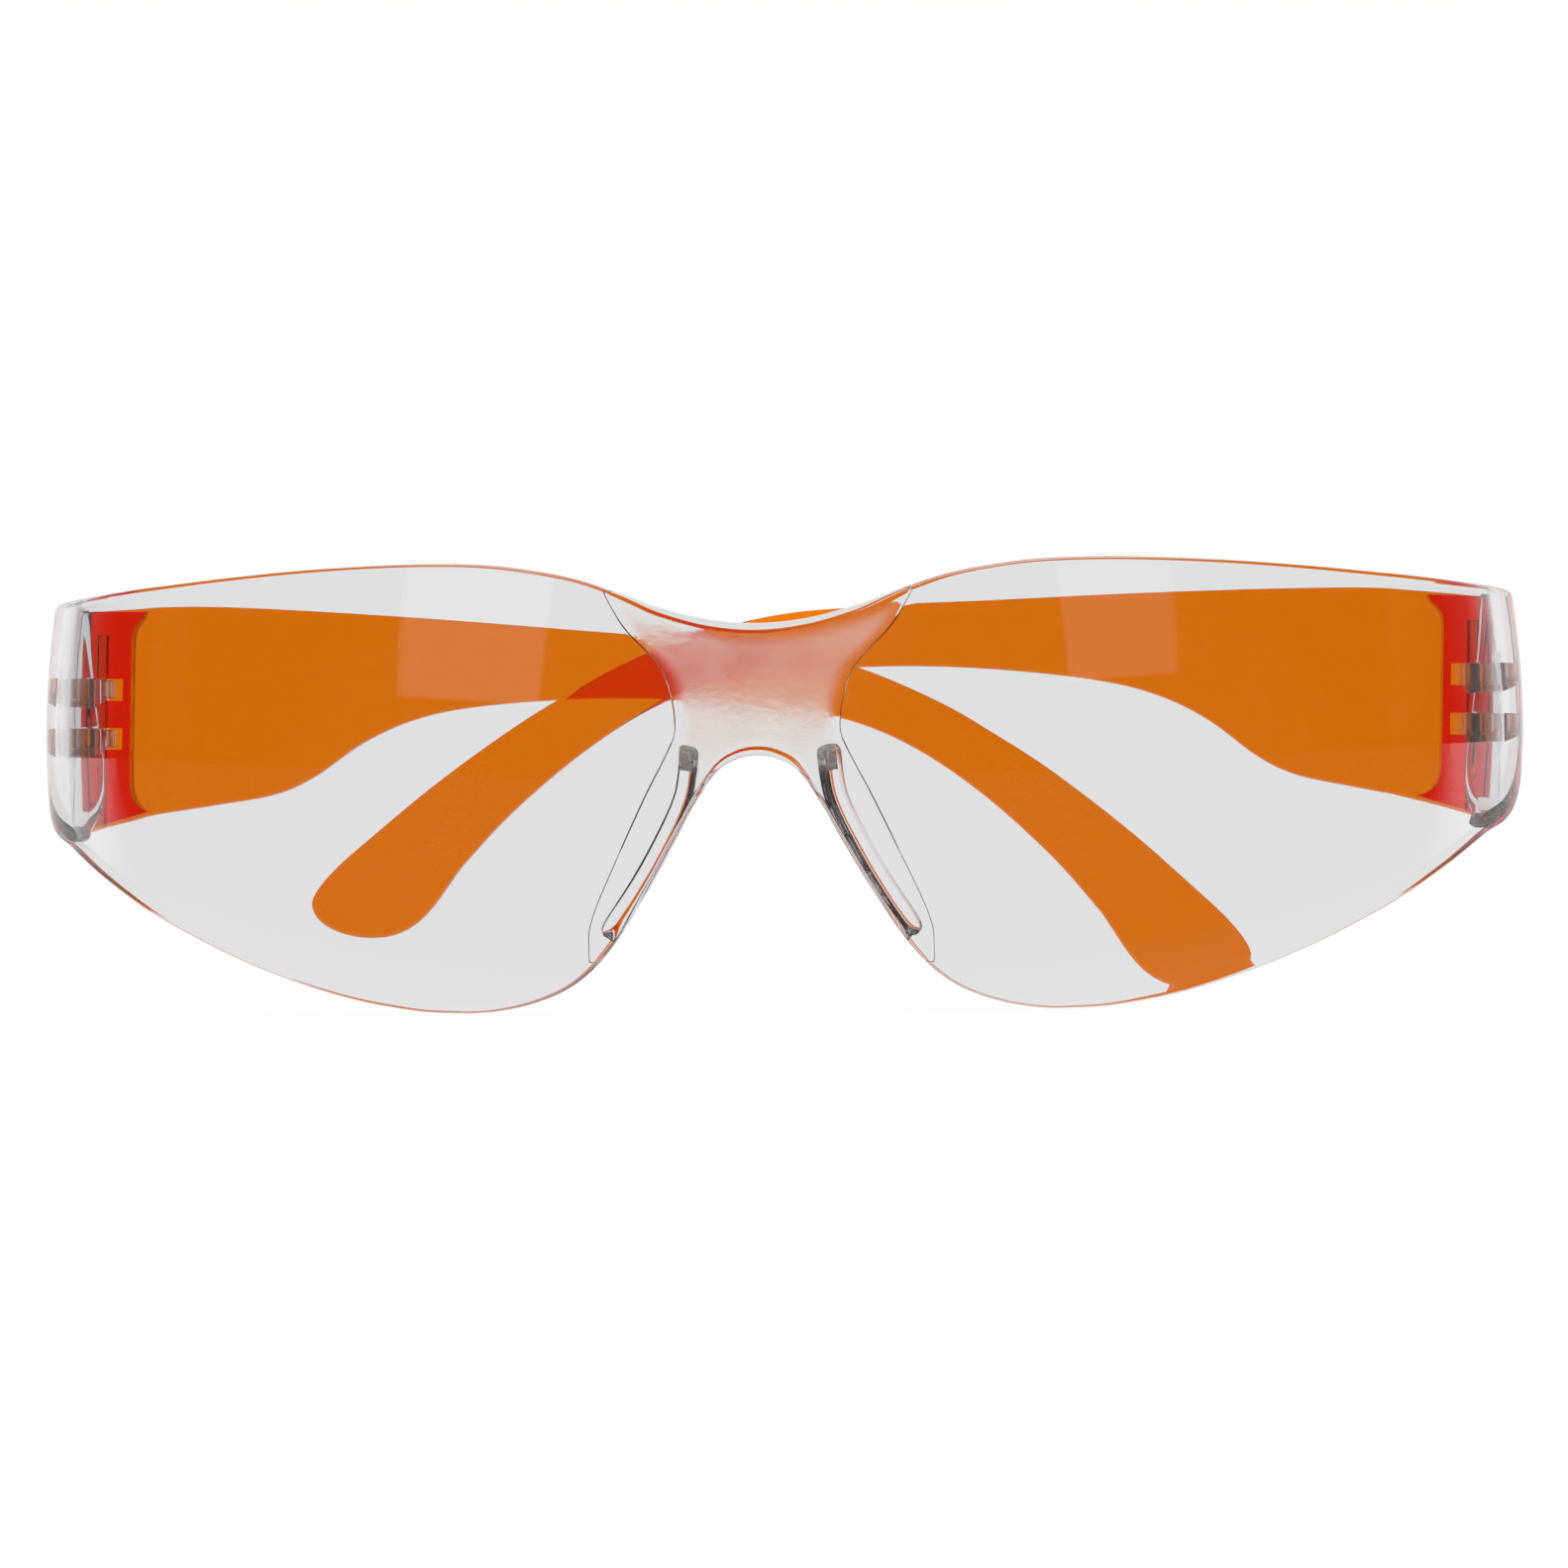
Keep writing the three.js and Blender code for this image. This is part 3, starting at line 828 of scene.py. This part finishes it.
def blend(nodes, links, share, first, second):
    """A value that goes from first to second with share. Each may be a number or a socket."""
    mix = nodes.new("ShaderNodeMix")
    mix.data_type = "FLOAT"
    links.new(share, mix.inputs["Factor"])
    for socket, value in ((mix.inputs["A"], first), (mix.inputs["B"], second)):
        if isinstance(value, (int, float)):
            socket.default_value = value
        else:
            links.new(value, socket)
    return mix.outputs["Result"]


def floor_and_backdrop():
    """A pale floor, evenly lit. Mirrored, it is dark in front of the glasses."""
    bpy.ops.mesh.primitive_plane_add(size=12, location=(0, 0, -0.0002))
    floor = bpy.context.object
    floor.name = "floor"
    material, nodes, links, shader, _ = new_material("floor_white")
    coords = nodes.new("ShaderNodeTexCoord")
    parts = nodes.new("ShaderNodeSeparateXYZ")
    links.new(coords.outputs["Object"], parts.inputs["Vector"])
    mirrored = remap(nodes, links, parts.outputs["Y"], -0.03, 0.03, FLOOR_FRONT, FLOOR_LIGHT)
    strength = blend(nodes, links, mirrored_share(nodes, links), FLOOR_LIGHT, mirrored)
    shader.inputs["Base Color"].default_value = (0.1, 0.1, 0.1, 1)
    shader.inputs["Roughness"].default_value = 0.9
    shader.inputs["Specular IOR Level"].default_value = 0
    shader.inputs["Emission Color"].default_value = (1, 1, 1, 1)
    links.new(strength, shader.inputs["Emission Strength"])
    floor.data.materials.append(material)


def world_light():
    """Even and white. Mirrored, it is bright behind the glasses and dark in front of them."""
    world = bpy.data.worlds.new("studio")
    bpy.context.scene.world = world
    world.use_nodes = True
    nodes, links = world.node_tree.nodes, world.node_tree.links
    background = nodes["Background"]
    background.inputs["Color"].default_value = (1, 1, 1, 1)
    coords = nodes.new("ShaderNodeTexCoord")
    parts = nodes.new("ShaderNodeSeparateXYZ")
    links.new(coords.outputs["Generated"], parts.inputs["Vector"])
    ramp = nodes.new("ShaderNodeValToRGB")
    ramp.color_ramp.elements[0].position = WORLD_MIRRORED[0][0]
    ramp.color_ramp.elements[1].position = WORLD_MIRRORED[-1][0]
    for position, _ in WORLD_MIRRORED[1:-1]:
        ramp.color_ramp.elements.new(position)
    for element, (_, value) in zip(ramp.color_ramp.elements, WORLD_MIRRORED):
        element.color = (value, value, value, 1)
    links.new(remap(nodes, links, parts.outputs["Y"], -1, 1, 0, 1), ramp.inputs["Fac"])
    share = mirrored_share(nodes, links)
    strength = blend(nodes, links, share, WORLD_LIGHT, ramp.outputs["Color"])
    links.new(strength, background.inputs["Strength"])


def softbox(name, place, target, width, height, power):
    """A rectangular light that faces its target, in metres and watts."""
    light = bpy.data.lights.new(name, "AREA")
    light.shape = "RECTANGLE"
    light.size = width
    light.size_y = height
    light.energy = power
    made = bpy.data.objects.new(name, light)
    made.location = place
    made.rotation_euler = (Vector(target) - Vector(place)).to_track_quat("-Z", "Y").to_euler()
    made.visible_camera = False
    bpy.context.scene.collection.objects.link(made)


def lights():
    softbox("key", (-0.66, -1.0, 0.46), (0, 0, 0.03), 0.34, 0.5, 0.25)
    softbox("fill", (0.66, -1.0, 0.5), (0, 0, 0.03), 0.26, 0.5, 0.16)


def camera():
    """Level, a little to the +X side, about a metre from the lens."""
    azimuth = math.radians(3.75)
    distance = 1.0
    aim_right = 0.00265
    front = FRONT_Y * MM
    mid_height = 0.02214
    data = bpy.data.cameras.new("camera")
    data.sensor_width = 36
    data.lens = 236.3
    data.clip_start = 0.01
    made = bpy.data.objects.new("camera", data)
    away = Vector((math.sin(azimuth), -math.cos(azimuth), 0))
    right = Vector((math.cos(azimuth), math.sin(azimuth), 0))
    made.location = Vector((0, front, mid_height)) + away * distance + right * aim_right
    look = (-away).to_track_quat("-Z", "Y")
    roll = Matrix.Rotation(math.radians(0.6), 4, -away)
    made.rotation_euler = (roll @ look.to_matrix().to_4x4()).to_euler()
    bpy.context.scene.collection.objects.link(made)
    bpy.context.scene.camera = made


# ---- Everything together ---------------------------------------------------------------------

clear = clear_material()
orange = orange_material()
pins = pin_material()
dress(build_lens(), clear, "lens", "clear_plastic", "lens")
for word, side in (("left", -1), ("right", 1)):
    temple = f"temple_{word}"
    dress(build_temple(side), orange, temple, "orange_plastic", temple)
    dress(build_pin(side), pins, temple, "pin_plastic", f"hinge_pin_{word}")

floor_and_backdrop()
world_light()
lights()
camera()

scene = bpy.context.scene
scene.view_settings.view_transform = "Standard"
scene.cycles.max_bounces = 24
scene.cycles.transmission_bounces = 24
scene.cycles.glossy_bounces = 24
